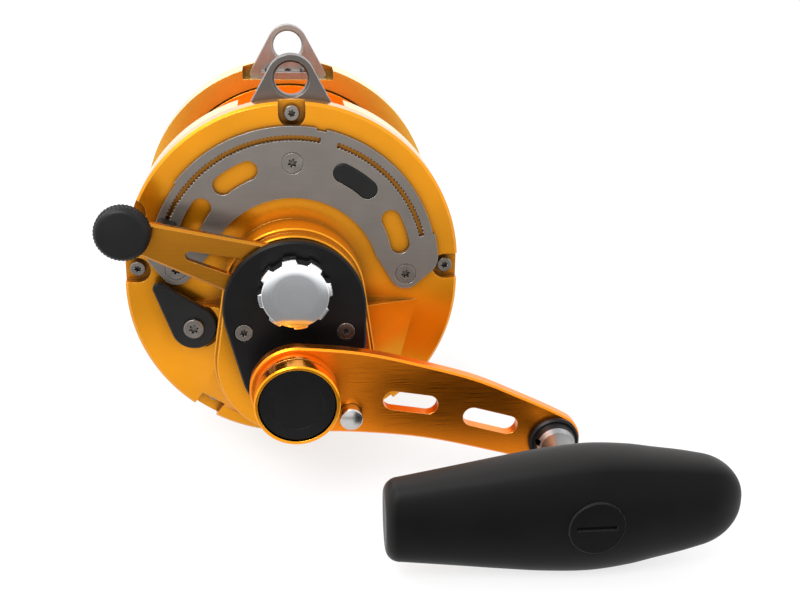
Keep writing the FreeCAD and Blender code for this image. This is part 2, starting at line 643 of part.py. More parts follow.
def make_pinion():
    sleeve = disc(6.0, -14.8, 9.4)
    high = gear(HIGH_TEETH[1], *HIGH_GEAR_Y, 0, 270 + 180.0 / HIGH_TEETH[1], 3)
    low = gear(LOW_TEETH[1], *LOW_GEAR_Y, 0, 270 + 180.0 / LOW_TEETH[1], 3)
    shape = fuse_all([sleeve, high, low])
    return shape.cut(disc(SHAFT_R + 0.3, -16, 20))


def make_drag_rotor():
    rotor = disc(38.0, 9.4, 12.5)
    rotor = rotor.cut(tube(34, 20, 9, 10.4))
    return rotor.cut(disc(SHAFT_R + 0.3, 8, 14))


def make_friction_washer():
    return tube(37.5, 21.0, 13.3, SPOOL_NEAR_Y)


def make_spool():
    """Spool turned from one bar: drag hub, two flanges with a rolled rim, and the arbor between them."""
    hub = disc(36.0, SPOOL_NEAR_Y, 18.5)
    near = disc(SPOOL_FLANGE_R, 18.2, 22.2)
    far = disc(SPOOL_FLANGE_R, SPOOL_FAR_Y - 4.0, SPOOL_FAR_Y)
    arbor = disc(SPOOL_ARBOR_R, 20, SPOOL_FAR_Y - 2)
    near_cove = cone(44.0, SPOOL_ARBOR_R, 22.2, 27.0)
    far_cove = cone(SPOOL_ARBOR_R, 44.0, SPOOL_FAR_Y - 8.8, SPOOL_FAR_Y - 4.0)
    shape = fuse_all([hub, near, far, arbor, near_cove, far_cove])
    cuts = [
        disc(BEARING_R + RUNNING, 10, 22.3),
        disc(BEARING_R + RUNNING, SPOOL_FAR_Y - 7, 100),
        disc(8.0, 0, 100),
        tube(50, 16, SPOOL_FAR_Y - 2.0, 100),
    ]
    return cut_all(shape, cuts)


def make_click_gear():
    """Ring of fine teeth round the spool's drag hub, for the clicker's pawl."""
    teeth = 60
    points = []
    for i in range(teeth):
        for r, part in ((38.6, 0.0), (40.2, 0.3), (40.2, 0.5), (38.6, 0.8)):
            p = polar(r, 360.0 * (i + part) / teeth)
            points.append((p.x, p.z))
    return polygon(points, SPOOL_NEAR_Y, 18.0).cut(disc(36.0, 10, 20))


# ---------------------------------------------------------------- gear train inside the case
def make_bridge_plate():
    plate = hull([(x, z, r - 0.1) for x, z, r in BRIDGE], BRIDGE_Y, PLATE_T)
    cuts = [disc(10.5, 0, 10), disc(9.0, 0, 10, 0, -HANDLE_DROP)]
    cuts += [disc(1.0 + SCREW_GAP, 0, 10, x, z) for x, z in BRIDGE_SCREWS]
    cuts += [disc(BRIDGE_SCREW_R + 0.3, PLATE_T - 1.2, 10, x, z) for x, z in BRIDGE_SCREWS]
    return cut_all(plate, cuts)


def make_bridge_screws():
    screws = []
    for x, z in BRIDGE_SCREWS:
        head = disc(BRIDGE_SCREW_R, PLATE_T - 1.2, PLATE_T - 0.1, x, z)
        screws.append(head.fuse(disc(1.0, 0.5, PLATE_T - 1.2, x, z)))
    return Part.makeCompound(screws)


def make_crank_shaft():
    z = -HANDLE_DROP
    shaft = disc(7.0, -44.5, 3.0, 0, z).fuse(disc(5.0, 3.0, PLATE_T - 0.1, 0, z))
    cuts = [
        disc(2.5 + RUNNING, -46, 2, 0, z),
        disc(5.2, -46, SHIFT_BORE_END, 0, z),
        block(-8, 8, KEY_Y[0] - 0.2, KEY_Y[1] + SHIFT_TRAVEL + 1.1, z - 1.75, z + 1.75),
    ]
    return cut_all(shaft, cuts)


def make_high_gear():
    z = -HANDLE_DROP
    wheel = gear(HIGH_TEETH[0], *HIGH_GEAR_Y, z, 90, 7.0)
    slot = block(-9.0, 9.0, HIGH_GEAR_Y[0] - 1, HIGH_GEAR_Y[1] + 1, z - 1.75, z + 1.75)
    face = tube(23.0, 12.0, HIGH_GEAR_Y[0] - 1, HIGH_GEAR_Y[0] + 1.2, 0, z)
    return cut_all(wheel, [slot, face])


def make_low_gear():
    z = -HANDLE_DROP
    wheel = gear(LOW_TEETH[0], *LOW_GEAR_Y, z, 90, 7.0 + RUNNING)
    return wheel.cut(disc(9.5, LOW_GEAR_Y[0] - 1, 0.8, 0, z))


def make_ratchet():
    teeth = 12
    points = []
    for i in range(teeth):
        for r, part in ((12.3, 0.0), (10.2, 0.06)):
            p = polar(r, 360.0 * (i + part) / teeth)
            points.append((p.x, p.z - HANDLE_DROP))
    return polygon(points, *DOG_Y).cut(disc(7.0, -30, 0, 0, -HANDLE_DROP))


def make_dog(side):
    """Anti-reverse pawl on its pivot screw, with its nose just clear of the ratchet."""
    x, z = side * DOG_AT[0], DOG_AT[1]
    shape = hull([(x, z, 2.9), (side * 11.7, -28.6, 0.7)], *DOG_Y)
    return shape.cut(disc(1.5 + RUNNING, -30, 0, x, z))


def make_dog_screws():
    screws = []
    for side in (-1, 1):
        x, z = side * DOG_AT[0], DOG_AT[1]
        pin = disc(1.5, DOG_Y[0] - 0.3, -13.2, x, z)
        screws.append(pin.fuse(disc(2.4, DOG_Y[0] - 0.6, DOG_Y[0] - 0.1, x, z)))
    return Part.makeCompound(screws)


# ---------------------------------------------------------------- clicker
def make_click_lever():
    lever = hull([(CLICK_AT[0], CLICK_AT[1], 9.0), (CLICK_TIP[0], CLICK_TIP[1], 2.3)], *CLICK_LEVER_Y)
    lever = chamfer_at(lever, CLICK_LEVER_Y[0], 0.5)
    return lever.cut(disc(2.0 + SCREW_GAP, -10, 0, *CLICK_AT))


def make_click_shaft():
    """Clicker's shaft with its pawl, which is turned away from the click ring while the clicker is off."""
    x, z = CLICK_AT
    off_angle = math.degrees(math.atan2(-z, -x)) - CLICK_SWING
    tip = polar(4.0, off_angle, 0, x, z)
    pawl = hull([(x, z, 3.7), (tip.x, tip.z, 0.6)], 15.0, 17.1)
    shaft = disc(3.0, CLICK_LEVER_Y[1], 17.1, x, z)
    return fuse_all([shaft, pawl]).cut(disc(2.0 + SCREW_GAP, -10, 4, x, z))


def make_click_screw():
    return cap_screw(*CLICK_AT, CLICK_LEVER_Y[0] - 1.6, 4.0, 1.6, 2.0, 8.0)


# ---------------------------------------------------------------- crank
def arm_edge(start, between, end, start_angle, end_angle):
    """Smooth edge from one round boss to the next, leaving and joining each along its tangent."""
    curve = Part.BSplineCurve()
    curve.interpolate(
        Points=[start] + [V(x, start.y, z) for x, z in between] + [end],
        InitialTangent=polar(30, start_angle - 90),
        FinalTangent=polar(30, end_angle - 90),
    )
    return curve.toShape()


def make_crank_arm():
    """Flat tapered arm with a round hub and two slots, curving down towards the grip."""
    y0, y1 = ARM_Y
    gx, gz = GRIP_AT
    hub_r, end_r = 17.6, 10.6
    hub_angles = (86.0, -88.0)
    end_angles = (60.0, -105.0)
    hub = [polar(hub_r, a, y0, 0, -HANDLE_DROP) for a in hub_angles]
    end = [polar(end_r, a, y0, gx, gz) for a in end_angles]
    top = [(26.0, -20.2), (50.1, -26.3), (69.9, -32.6), (85.3, -39.6)]
    low = [(84.8, -65.7), (65.1, -60.3), (48.1, -56.3), (30.0, -53.8)]
    edges = [
        arm_edge(hub[0], top, end[0], hub_angles[0], end_angles[0]),
        arm_edge(end[1], low, hub[1], end_angles[1], hub_angles[1]),
        Part.Arc(end[0], polar(end_r, -20, y0, gx, gz), end[1]).toShape(),
        Part.Arc(hub[1], polar(hub_r, 180, y0, 0, -HANDLE_DROP), hub[0]).toShape(),
    ]
    arm = chamfer_at(prism(edges, y0, y1), y0, 0.7)
    slots = []
    for x, z, half_len, tilt in ((43.2, -41.0, 6.8, -9.5), (74.5, -49.8, 7.2, -16.0)):
        a, b = polar(half_len, tilt, 0, x, z), polar(-half_len, tilt, 0, x, z)
        slots.append(hull([(a.x, a.z, 3.9), (b.x, b.z, 3.9)], y0 - 1, y1 + 1))
    bores = [disc(7.0, y0 - 1, y1 + 1, 0, -HANDLE_DROP), disc(4.5, y0 - 1, y1 + 1, gx, gz),
             disc(PIN_R + RUNNING, y0 - 1, y1 + 1, *PIN_AT)]
    return cut_all(arm, slots + bores)


def make_hub_cup():
    """Cup on the front of the arm that holds the shift button."""
    z = -HANDLE_DROP
    cup = chamfer_at(disc(CUP_R, CUP_FRONT_Y, ARM_Y[0], 0, z), CUP_FRONT_Y, 0.5)
    groove = tube(CUP_R + 1, CUP_R - 0.6, -47.7, -46.9, 0, z)
    button_bore = disc(BUTTON_R + 0.25, CUP_FRONT_Y - 1, -45.2, 0, z)
    nut_bore = disc(11.5, -46, ARM_Y[0] + 1, 0, z)
    return cut_all(cup, [button_bore, nut_bore, groove])


def make_handle_nut():
    z = -HANDLE_DROP
    points = [(p.x, p.z) for p in (polar(10.8, 60 * i, 0, 0, z) for i in range(6))]
    return polygon(points, -44.4, ARM_Y[0]).cut(disc(7.0, -50, -40, 0, z))


def make_crank_spacer():
    return tube(10.0, 7.0, ARM_Y[1], COVER_Y[1] + 0.5, 0, -HANDLE_DROP)


def make_shift_button():
    z = -HANDLE_DROP
    y0 = CUP_FRONT_Y + 0.5
    button = chamfer_at(disc(BUTTON_R, y0, y0 + 2.6, 0, z), y0, 0.4)
    dish = disc(9.5, y0 - 1, y0 + 0.35, 0, z)
    return fuse_all([button.cut(dish), disc(4.0, y0 + 2.5, y0 + 3.4, 0, z)])


def make_shift_rod_and_key():
    """Push rod behind the button, with the cross key that locks one gear or the other to the crank shaft."""
    z = -HANDLE_DROP
    rod = disc(2.5, CUP_FRONT_Y + 3.9, KEY_Y[0], 0, z)
    key = block(-8.7, 8.7, *KEY_Y, z - 1.6, z + 1.6)
    return rod.fuse(key).removeSplitter()


def make_shift_spring():
    """Spring that pushes the button out, drawn closed up, with a groove between each two coils."""
    z = -HANDLE_DROP
    coils = 9
    start_y = CUP_FRONT_Y + 3.9
    pitch = (SHIFT_BORE_END - SHIFT_TRAVEL - 1.6 - start_y) / coils
    body = tube(4.4, 3.3, start_y, start_y + coils * pitch, 0, z)
    return cut_all(body, [Part.makeTorus(4.6, 0.4, V(0, start_y + i * pitch, z), ALONG) for i in range(1, coils)])


def make_release_pin():
    pin = disc(PIN_R, -47.2, ARM_Y[1], *PIN_AT)
    return fillet_at(pin, -47.2, 0.8)


def make_grip_post():
    """Post for the grip: dark flange on the arm, a waisted neck, and the spindle inside the grip."""
    x, z = GRIP_AT
    flange = chamfer_at(disc(9.9, ARM_Y[0] - 2.4, ARM_Y[0], x, z), ARM_Y[0] - 2.4, 0.8)
    flare = cone(6.6, 8.4, -48.5, ARM_Y[0] - 2.3, x, z)
    neck = disc(6.6, -76.6, -48.4, x, z)
    spindle = disc(4.0, -100.4, -76.5, x, z)
    tail = disc(4.5, ARM_Y[0] - 1, ARM_Y[1], x, z)
    return fuse_all([flange, flare, neck, spindle, tail]).cut(disc(1.4, -47.6, -40, x - 6.6, z + 1.5))


# half-height of the grip at each distance along it from the post
GRIP_PROFILE = [
    (-66.0, 15.6), (-43.0, 18.9), (-16.0, 22.6), (0.0, 23.6), (14.0, 22.5), (34.0, 18.9), (41.0, 17.3),
]
GRIP_LEFT_END = (-71.4, 10.0)
GRIP_RIGHT_END = 55.8
GRIP_FLATNESS = 0.61         # depth of the oval section over its height
GRIP_TILT = 1.9
GRIP_MID_Y = -90.8
GRIP_FRONT_Y = -105.0


def make_grip():
    """T-bar grip of an oval section, fattest at the post, with a blunt left end and a domed right end."""
    x, z = GRIP_AT
    first, last = GRIP_PROFILE[0], GRIP_PROFILE[-1]
    left_x, left_r = GRIP_LEFT_END
    side = Part.BSplineCurve()
    side.interpolate([V(u, 0, r) for u, r in GRIP_PROFILE])
    edge_round = Part.Arc(V(left_x, 0, left_r), V(left_x + 1.5, 0, left_r + 3.9), V(first[0], 0, first[1]))
    dome = Part.Arc(V(last[0], 0, last[1]), V(51.6, 0, 10.6), V(GRIP_RIGHT_END, 0, 0))
    edges = [
        Part.makeLine(V(left_x, 0, 0), V(left_x, 0, left_r)),
        edge_round.toShape(),
        side.toShape(),
        dome.toShape(),
        Part.makeLine(V(GRIP_RIGHT_END, 0, 0), V(left_x, 0, 0)),
    ]
    round_bar = Part.Face(Part.Wire(edges)).revolve(V(0, 0, 0), V(1, 0, 0), 360)
    squeeze = FreeCAD.Matrix()
    squeeze.scale(1, GRIP_FLATNESS, 1)
    bar = round_bar.transformGeometry(squeeze)
    bar.rotate(V(0, 0, 0), V(0, 1, 0), -GRIP_TILT)
    bar.translate(V(x, GRIP_MID_Y, z))
    cuts = [
        disc(7.0, -79.6, -70, x, z),
        disc(5.0, -110, -70, x, z),
        disc(10.1, -115, -101.2, x, z),
    ]
    return cut_all(bar, cuts)


def make_grip_cap():
    """Slotted plug that closes the grip's front."""
    x, z = GRIP_AT
    cap = chamfer_at(disc(9.9, GRIP_FRONT_Y - 0.1, -101.3, x, z), GRIP_FRONT_Y - 0.1, 0.3)
    slot = block(x - 7.2, x + 7.2, GRIP_FRONT_Y - 1, GRIP_FRONT_Y + 1.2, z - 0.9, z + 0.9)
    return cut_all(cap, [slot])


def make_grip_bushes():
    x, z = GRIP_AT
    near = tube(7.0, SHAFT_R + RUNNING, -79.6, -76.8, x, z)
    far = tube(5.0, SHAFT_R + RUNNING, -99.0, -92.0, x, z)
    return Part.makeCompound([near, far])


def main():
    os.makedirs("parts", exist_ok=True)
    z = -HANDLE_DROP
    save("frame", make_frame())
    save("handle_side_plate", make_handle_side_plate())
    save("left_side_plate", make_left_side_plate())
    save("left_plate_cap", make_left_plate_cap())
    save("left_cap_screws", make_cap_screws())
    save("rim_screws", make_rim_screws())
    save("left_rim_screws", make_left_rim_screws())
    save("handle_side_lug", make_lug(False))
    save("left_side_lug", make_lug(True))
    save("lug_screws", make_lug_screws())
    save("quadrant", make_quadrant())
    save("quadrant_screws", make_quadrant_screws())
    save("strike_button", make_strike_button())
    save("gear_cover", make_gear_cover())
    save("cover_screws", make_cover_screws())
    save("bridge_plate", make_bridge_plate())
    save("bridge_screws", make_bridge_screws())
    save("fixed_cam", make_fixed_cam())
    save("drag_lever", make_drag_lever())
    save("drag_cam", make_drag_cam())
    save("detent_shoe", make_detent_shoe())
    save("lever_knob", make_lever_knob())
    save("lever_knob_collar", make_knob_collar())
    save("lever_knob_screw", make_knob_screw())
    save("preset_knob", make_preset_knob())
    save("spool_shaft", make_spool_shaft())
    save("drag_springs", make_drag_springs())
    save("spool_bearing_near", bearing(BEARING_R, SHAFT_R, 15.9, 21.9))
    save("spool_bearing_far", bearing(BEARING_R, SHAFT_R, 84.7, 90.7))
    save("pinion", make_pinion())
    save("pinion_front_bearing", bearing(9.5, 6.0 + RUNNING, -15.0, -11.4))
    save("pinion_rear_bearing", bearing(10.5, 6.0 + RUNNING, BRIDGE_Y, PLATE_T))
    save("drag_rotor", make_drag_rotor())
    save("friction_washer", make_friction_washer())
    save("spool", make_spool())
    save("click_gear", make_click_gear())
    save("crank_shaft", make_crank_shaft())
    save("crank_front_bearing", bearing(12.0, 7.0 + RUNNING, -15.5, -12.0, 0, z))
    save("crank_rear_bearing", bearing(9.0, 5.0 + RUNNING, BRIDGE_Y, PLATE_T, 0, z))
    save("high_gear", make_high_gear())
    save("low_gear", make_low_gear())
    save("ratchet", make_ratchet())
    save("left_dog", make_dog(-1))
    save("right_dog", make_dog(1))
    save("dog_screws", make_dog_screws())
    save("click_lever", make_click_lever())
    save("click_shaft", make_click_shaft())
    save("click_screw", make_click_screw())
    save("crank_arm", make_crank_arm())
    save("hub_cup", make_hub_cup())
    save("handle_nut", make_handle_nut())
    save("crank_spacer", make_crank_spacer())
    save("shift_button", make_shift_button())
    save("shift_rod_and_key", make_shift_rod_and_key())
    save("shift_spring", make_shift_spring())
    save("release_pin", make_release_pin())
    save("grip_post", make_grip_post())
    save("grip", make_grip())
    save("grip_cap", make_grip_cap())
    save("grip_bushes", make_grip_bushes())


main()
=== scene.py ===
"""Looks of a two-speed lever-drag trolling reel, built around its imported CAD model."""

import math

import bmesh
import bpy
from mathutils import Matrix, Vector


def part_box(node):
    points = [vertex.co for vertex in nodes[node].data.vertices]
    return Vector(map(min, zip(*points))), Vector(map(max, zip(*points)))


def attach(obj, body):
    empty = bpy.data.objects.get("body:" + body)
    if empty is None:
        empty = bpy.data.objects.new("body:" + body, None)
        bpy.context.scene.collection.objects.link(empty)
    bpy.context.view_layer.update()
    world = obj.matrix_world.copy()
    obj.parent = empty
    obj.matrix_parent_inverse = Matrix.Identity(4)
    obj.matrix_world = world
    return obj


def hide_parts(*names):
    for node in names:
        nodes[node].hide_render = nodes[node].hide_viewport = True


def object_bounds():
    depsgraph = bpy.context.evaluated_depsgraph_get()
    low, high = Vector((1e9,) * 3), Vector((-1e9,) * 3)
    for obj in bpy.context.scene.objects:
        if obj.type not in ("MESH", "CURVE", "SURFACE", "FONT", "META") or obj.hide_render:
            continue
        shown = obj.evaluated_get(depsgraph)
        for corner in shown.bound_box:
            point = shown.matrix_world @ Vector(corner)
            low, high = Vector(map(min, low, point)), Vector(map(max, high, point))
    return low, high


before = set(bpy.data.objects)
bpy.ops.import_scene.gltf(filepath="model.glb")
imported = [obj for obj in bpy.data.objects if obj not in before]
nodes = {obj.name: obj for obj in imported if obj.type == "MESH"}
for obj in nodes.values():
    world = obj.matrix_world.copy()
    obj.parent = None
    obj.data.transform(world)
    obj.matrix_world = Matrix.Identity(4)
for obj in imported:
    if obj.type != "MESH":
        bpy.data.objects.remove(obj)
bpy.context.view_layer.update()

MM = 0.001


def middle(node):
    low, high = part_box(node)
    return (low + high) / 2


SPOOL = middle("spool")
CRANK = middle("crank_shaft")
GRIP_POST = middle("grip_post")
LEVER_KNOB = middle("lever_knob")
PIN = middle("release_pin")


# ------------------------------------------------------------------ surfaces
class Surface:
    """One material, with noise in the piece's own coordinates so that it moves with the piece."""

    def __init__(self, name, metallic, specular=0.5):
        self.material = bpy.data.materials.new(name)
        self.material.use_nodes = True
        self.tree = self.material.node_tree
        self.shader = self.tree.nodes["Principled BSDF"]
        self.set("Metallic", metallic)
        self.set("Specular IOR Level", specular)
        self.place = self.add("ShaderNodeTexCoord").outputs["Object"]

    def add(self, kind, **settings):
        made = self.tree.nodes.new(kind)
        for key, value in settings.items():
            setattr(made, key, value)
        return made

    def set(self, socket, value):
        self.feed(self.shader.inputs[socket], value)

    def feed(self, socket, value):
        if isinstance(value, bpy.types.NodeSocket):
            self.tree.links.new(value, socket)
        else:
            socket.default_value = value

    def maths(self, operation, a, b=0.0):
        made = self.add("ShaderNodeMath", operation=operation)
        self.feed(made.inputs[0], a)
        self.feed(made.inputs[1], b)
        return made.outputs[0]

    def vector(self, operation, a, b=(0.0, 0.0, 0.0), out="Vector"):
        made = self.add("ShaderNodeVectorMath", operation=operation)
        self.feed(made.inputs[0], a)
        self.feed(made.inputs[1], b)
        return made.outputs[out]

    def noise(self, where, size, detail=2.0, stretch=(1.0, 1.0, 1.0)):
        """Noise with features about size metres across, drawn out along axes where stretch is over 1."""
        scaled = self.vector("MULTIPLY", where, tuple(1.0 / (size * s) for s in stretch))
        made = self.add("ShaderNodeTexNoise")
        self.feed(made.inputs["Vector"], scaled)
        made.inputs["Scale"].default_value = 1.0
        made.inputs["Detail"].default_value = detail
        return made.outputs["Fac"]

    def span(self, value, low, high, start=0.35, end=0.65):
        """Moves a value that runs from start to end onto low to high."""
        made = self.add("ShaderNodeMapRange", clamp=True)
        self.feed(made.inputs["Value"], value)
        made.inputs["From Min"].default_value = start
        made.inputs["From Max"].default_value = end
        made.inputs["To Min"].default_value = low
        made.inputs["To Max"].default_value = high
        return made.outputs["Result"]

    def blend(self, factor, a, b):
        made = self.add("ShaderNodeMix", data_type="RGBA")
        self.feed(made.inputs["Factor"], factor)
        self.feed(made.inputs["A"], a)
        self.feed(made.inputs["B"], b)
        return made.outputs["Result"]

    def tones(self, factor, base, low, high):
        """Colour between low times and high times the base colour."""
        darker, lighter = (tuple(min(1.0, c * k) for c in base) + (1.0,) for k in (low, high))
        return self.blend(factor, darker, lighter)

    def recess(self, reach, low, closed, free):
        """1 where the open share of the view within reach is over free, down to low where under closed."""
        made = self.add("ShaderNodeAmbientOcclusion", samples=6)
        made.inputs["Distance"].default_value = reach
        return self.span(made.outputs["AO"], low, 1.0, closed, free)

    def radius_about(self, centre):
        """Distance from the axis along Y through centre, and the offset from it."""
        offset = self.vector("SUBTRACT", self.place, tuple(centre))
        flat = self.vector("MULTIPLY", offset, (1.0, 0.0, 1.0))
        return self.vector("LENGTH", flat, out="Value"), flat

    def rings(self, centre, pitch):
        """Lathe marks: noise that depends on the radius alone."""
        radius, _ = self.radius_about(centre)
        along = self.add("ShaderNodeCombineXYZ")
        self.feed(along.inputs["X"], radius)
        return self.noise(along.outputs[0], pitch, detail=3.0)

    def tangent_about(self, centre):
        """Grain direction round the axis through centre, for the fan-shaped highlights of turning."""
        _, flat = self.radius_about(centre)
        around = self.vector("NORMALIZE", self.vector("CROSS_PRODUCT", flat, (0.0, 1.0, 0.0)))
        self.tangent_along(around)

    def tangent_along(self, direction):
        """Grain direction, given in the piece's own axes."""
        made = self.add("ShaderNodeVectorTransform", vector_type="VECTOR")
        made.convert_from = "OBJECT"
        made.convert_to = "WORLD"
        self.feed(made.inputs[0], direction)
        self.set("Tangent", made.outputs[0])

    def edge(self, radius):
        """1 on edges and 0 on flats, and the normal with its edges rounded to the radius."""
        rounded = self.add("ShaderNodeBevel", samples=4)
        rounded.inputs["Radius"].default_value = radius
        normal = self.add("ShaderNodeNewGeometry").outputs["Normal"]
        same = self.vector("DOT_PRODUCT", rounded.outputs["Normal"], normal, out="Value")
        return self.span(same, 1.0, 0.0, 0.8, 0.995), rounded.outputs["Normal"]

    def relief(self, height, depth, normal=None):
        """Normal of a surface that rises by depth where height is 1."""
        made = self.add("ShaderNodeBump")
        made.inputs["Strength"].default_value = 1.0
        made.inputs["Distance"].default_value = depth
        self.feed(made.inputs["Height"], height)
        if normal is not None:
            self.feed(made.inputs["Normal"], normal)
        return made.outputs["Normal"]


GOLD = (0.95, 0.345, 0.01)
GOLD_EDGE_WEAR_AND_HIGHLIGHT = (1.0, 0.62, 0.2, 1.0)
GOLD_SHADOW = (0.02, 0.006, 0.001, 1.0)
COAT_ROUGHNESS = 0.16
COAT_IOR = 1.25
STEEL_EDGE_HIGHLIGHT = (0.78, 0.76, 0.73, 1.0)
STEEL_SHADOW = (0.02, 0.017, 0.014, 1.0)
GREY_EDGE_HIGHLIGHT = (0.72, 0.7, 0.67, 1.0)
BLACK_EDGE_WEAR_AND_HIGHLIGHT = (0.06, 0.055, 0.05, 1.0)
POST_BLACK = (0.02, 0.019, 0.019, 1.0)
RUBBER_PAINTED_LIGHT = (0.017, 0.016, 0.0155, 1.0)


def gold(
    name, grain, centre=None, base=GOLD, metallic=1.0, roughness=(0.2, 0.28), relief=0.0012,
    shadow=0.45, coat=0.0, fan=0.35,
):
    """Gold anodised aluminium.

    grain is turned (about centre), brushed (along X) or milled, and relief is its height in mm. shadow
    is how much painted shade darkens recesses, coat the weight of the clear coat, and fan how far a
    turned face's highlights spread.
    """
    s = Surface(name, metallic)
    if coat:
        s.set("Coat Weight", coat)
        s.set("Coat Roughness", COAT_ROUGHNESS)
        s.set("Coat IOR", COAT_IOR)
    cloud = s.noise(s.place, 24 * MM, detail=3.0)
    body = s.tones(s.span(cloud, 0.0, 1.0), base, 0.94, 1.05)
    if grain == "turned":
        marks = s.rings(centre, 0.3 * MM)
        s.set("Anisotropic", fan)
        s.tangent_about(centre)
    elif grain == "brushed":
        marks = s.noise(s.place, 0.22 * MM, detail=3.0, stretch=(70.0, 1.0, 1.0))
        s.set("Anisotropic", 0.45)
        s.tangent_along((1.0, 0.0, 0.0))
    else:
        marks = s.noise(s.place, 0.4 * MM, detail=3.0)
    streak = tuple(c * 0.88 for c in base) + (1.0,)
    face = s.blend(s.span(marks, 0.0, 0.22), body, streak)
    # Paler edges: partly edge wear, where the noise lets it through, and partly a painted edge highlight.
    edge, rounded = s.edge(0.3 * MM)
    edge_wear_and_highlight = s.maths("MULTIPLY", edge, s.span(s.noise(s.place, 3 * MM, detail=4.0), 0.25, 0.65))
    edge_lit_face = s.blend(edge_wear_and_highlight, face, GOLD_EDGE_WEAR_AND_HIGHLIGHT)
    # Painted shade: darkened towards GOLD_SHADOW in recesses and near other parts.
    openness = s.recess(8 * MM, 1.0 - shadow, 0.3, 0.9)
    s.set("Base Color", s.blend(openness, GOLD_SHADOW, edge_lit_face))
    s.set("Roughness", s.span(marks, *roughness))
    s.set("Normal", s.relief(marks, relief * MM, rounded))
    return s.material


def grey_plate(name, grain_axis, base, roughness=(0.3, 0.42), metallic=1.0, black_behind=None):
    """Ground, satin-finished metal with its grain along one axis, black beyond y = black_behind."""
    s = Surface(name, metallic)
    marks = s.noise(s.place, 0.3 * MM, detail=4.0, stretch=grain_axis)
    cloud = s.noise(s.place, 14 * MM, detail=2.0)
    mix = s.maths("ADD", s.maths("MULTIPLY", marks, 0.5), s.maths("MULTIPLY", cloud, 0.5))
    face = s.tones(s.span(mix, 0.0, 1.0), base, 0.92, 1.08)
    edge, rounded = s.edge(0.25 * MM)
    # Painted edge highlight: paler on every edge.
    face = s.blend(s.maths("MULTIPLY", edge, 0.7), face, GREY_EDGE_HIGHLIGHT)
    if black_behind is not None:
        split = s.add("ShaderNodeSeparateXYZ")
        s.feed(split.inputs[0], s.place)
        fade = 0.1 * MM
        behind = s.span(split.outputs["Y"], 0.0, 1.0, black_behind - fade, black_behind + fade)
        face = s.blend(behind, face, POST_BLACK)
    s.set("Base Color", face)
    s.set("Roughness", s.span(marks, *roughness))
    s.set("Normal", s.relief(marks, 0.0015 * MM, rounded))
    return s.material


def black_metal(name, base, specular, roughness=(0.3, 0.4)):
    """Black anodised aluminium with a fine bead-blasted grain, or plastic like it."""
    s = Surface(name, 0.0, specular)
    grain = s.noise(s.place, 0.25 * MM, detail=3.0)
    cloud = s.noise(s.place, 9 * MM, detail=3.0)
    face = s.tones(s.span(cloud, 0.0, 1.0), base, 0.8, 1.25)
    edge, rounded = s.edge(0.3 * MM)
    # Paler edges: partly edge wear, where the noise lets it through, and partly a painted edge highlight.
    edge_wear_and_highlight = s.maths("MULTIPLY", edge, s.span(s.noise(s.place, 2 * MM, detail=4.0), 0.0, 0.3))
    s.set("Base Color", s.blend(edge_wear_and_highlight, face, BLACK_EDGE_WEAR_AND_HIGHLIGHT))
    s.set("Roughness", s.span(grain, *roughness))
    s.set("Normal", s.relief(grain, 0.004 * MM, rounded))
    return s.material


def grip_rubber(name):
    """Moulded rubber with a fine stipple, with painted light: paler where it faces up or to -X in the
    row's own axes.
    """
    s = Surface(name, 0.0, 0.09)
    stipple = s.noise(s.place, 0.45 * MM, detail=3.0)
    cloud = s.noise(s.place, 22 * MM, detail=4.0)
    normal = s.add("ShaderNodeNewGeometry").outputs["Normal"]
    upward = s.vector("DOT_PRODUCT", normal, (0.0, 0.0, 1.0), out="Value")
    endward = s.vector("DOT_PRODUCT", normal, (-1.0, 0.0, 0.0), out="Value")
    on_top = s.span(upward, 0.0, 1.0, 0.6, 1.0)
    at_end = s.span(endward, 0.0, 1.0, 0.2, 0.9)
    # Painted light: paler on faces turned up and towards -X.
    painted_light_mask = s.maths("MAXIMUM", on_top, at_end)
    clean = s.tones(s.span(cloud, 0.0, 1.0), (0.0016, 0.0016, 0.0017), 0.8, 1.25)
    s.set("Base Color", s.blend(painted_light_mask, clean, RUBBER_PAINTED_LIGHT))
    s.set("Roughness", s.maths("ADD", s.span(cloud, 0.42, 0.5), s.span(stipple, -0.03, 0.03)))
    s.set("Sheen Weight", 0.05)
    s.set("Sheen Roughness", 0.4)
    s.set("Normal", s.relief(stipple, 0.012 * MM))
    return s.material


def chrome(name, centre, base, roughness=(0.1, 0.14)):
    """Polished chrome plate over a turned face."""
    s = Surface(name, 1.0)
    marks = s.rings(centre, 0.4 * MM)
    haze = s.noise(s.place, 8 * MM, detail=2.0)
    s.set("Base Color", s.tones(s.span(haze, 0.0, 1.0), base, 0.98, 1.02))
    _, rounded = s.edge(0.15 * MM)
    s.set("Roughness", s.span(marks, *roughness))
    s.set("Normal", s.relief(marks, 0.0001 * MM, rounded))
    return s.material


def steel(name, base, roughness=(0.22, 0.34)):
    """Stainless or hardened steel off the lathe, with painted shade and some dirt in its sockets and
    recesses, and a painted highlight on its edges.
    """
    s = Surface(name, 1.0)
    marks = s.noise(s.place, 0.3 * MM, detail=4.0)
    cloud = s.noise(s.place, 4 * MM, detail=3.0)
    edge, rounded = s.edge(0.12 * MM)
    face = s.tones(s.span(cloud, 0.0, 1.0), base, 0.88, 1.1)
    # Painted edge highlight: paler on every edge.
    edge_lit_face = s.blend(s.maths("MULTIPLY", edge, 0.5), face, STEEL_EDGE_HIGHLIGHT)
    # Painted shade, with some dirt: dark in sockets and recesses.
    openness = s.recess(1.8 * MM, 0.05, 0.4, 0.92)
    s.set("Base Color", s.blend(openness, STEEL_SHADOW, edge_lit_face))
    s.set("Roughness", s.span(marks, *roughness))
    s.set("Normal", s.relief(marks, 0.002 * MM, rounded))
    return s.material


